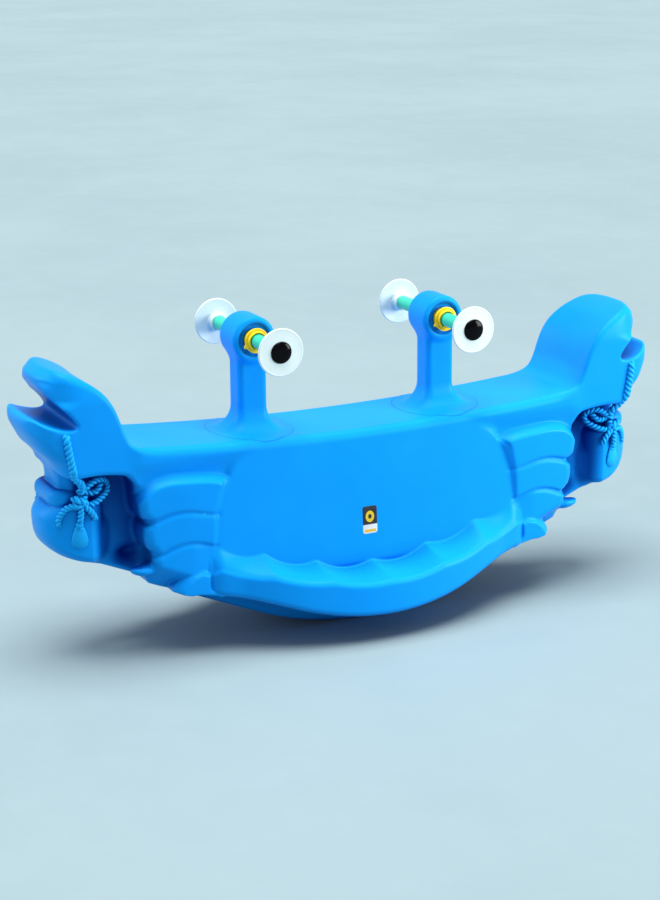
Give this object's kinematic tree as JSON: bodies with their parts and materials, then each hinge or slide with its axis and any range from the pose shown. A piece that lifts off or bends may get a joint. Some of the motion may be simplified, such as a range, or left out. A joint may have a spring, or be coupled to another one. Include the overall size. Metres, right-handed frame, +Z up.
{
  "type": "rocking seesaw",
  "caption": "Two-seat crab-shaped rocking seesaw for small children, with a hollow moulded body on a curved belly and turning handle bars.",
  "frame": {"origin": "on the ground under the middle of the belly, where the level seesaw touches the floor", "axes": "+X along the length towards the right claw, -Y towards the front side, +Z up"},
  "size_m": [1.5, 0.4756, 0.6884],
  "materials": {
    "body_plastic": "satin moulded polyethylene",
    "label_film": "smooth film",
    "bush_plastic": "moulded nylon",
    "grip_plastic": "extruded tube, satin",
    "disc_plastic": "smooth",
    "pupil_plastic": "high gloss",
    "sleeve_plastic": "moulded nylon",
    "steel": "zinc plated"
  },
  "bodies": {
    "hull": {"body_shell": "body_plastic", "vent_plug": "body_plastic", "side_label": "label_film", "left_front_bush": "bush_plastic", "left_rear_bush": "bush_plastic", "right_front_bush": "bush_plastic", "right_rear_bush": "bush_plastic"},
    "left_bar": {"left_grip_tube": "grip_plastic", "left_core_tube": "steel", "left_stop_sleeve": "sleeve_plastic", "left_roll_pin": "steel", "left_front_end_plug": "sleeve_plastic", "left_rear_end_plug": "sleeve_plastic", "left_front_eye_disc": "disc_plastic", "left_rear_eye_disc": "disc_plastic", "left_front_washer": "steel", "left_rear_washer": "steel", "left_front_screw": "steel", "left_rear_screw": "steel", "left_front_pupil_cap": "pupil_plastic", "left_rear_pupil_cap": "pupil_plastic"},
    "right_bar": {"right_grip_tube": "grip_plastic", "right_core_tube": "steel", "right_stop_sleeve": "sleeve_plastic", "right_roll_pin": "steel", "right_front_end_plug": "sleeve_plastic", "right_rear_end_plug": "sleeve_plastic", "right_front_eye_disc": "disc_plastic", "right_rear_eye_disc": "disc_plastic", "right_front_washer": "steel", "right_rear_washer": "steel", "right_front_screw": "steel", "right_rear_screw": "steel", "right_front_pupil_cap": "pupil_plastic", "right_rear_pupil_cap": "pupil_plastic"}
  },
  "joints": [
    {"name": "left_bar_spin", "type": "hinge", "parent": "hull", "child": "left_bar", "pos_m": [-0.224, 0, 0.639], "axis": [0, 1, 0], "continuous": true},
    {"name": "right_bar_spin", "type": "hinge", "parent": "hull", "child": "right_bar", "pos_m": [0.224, 0, 0.639], "axis": [0, 1, 0], "continuous": true}
  ]
}
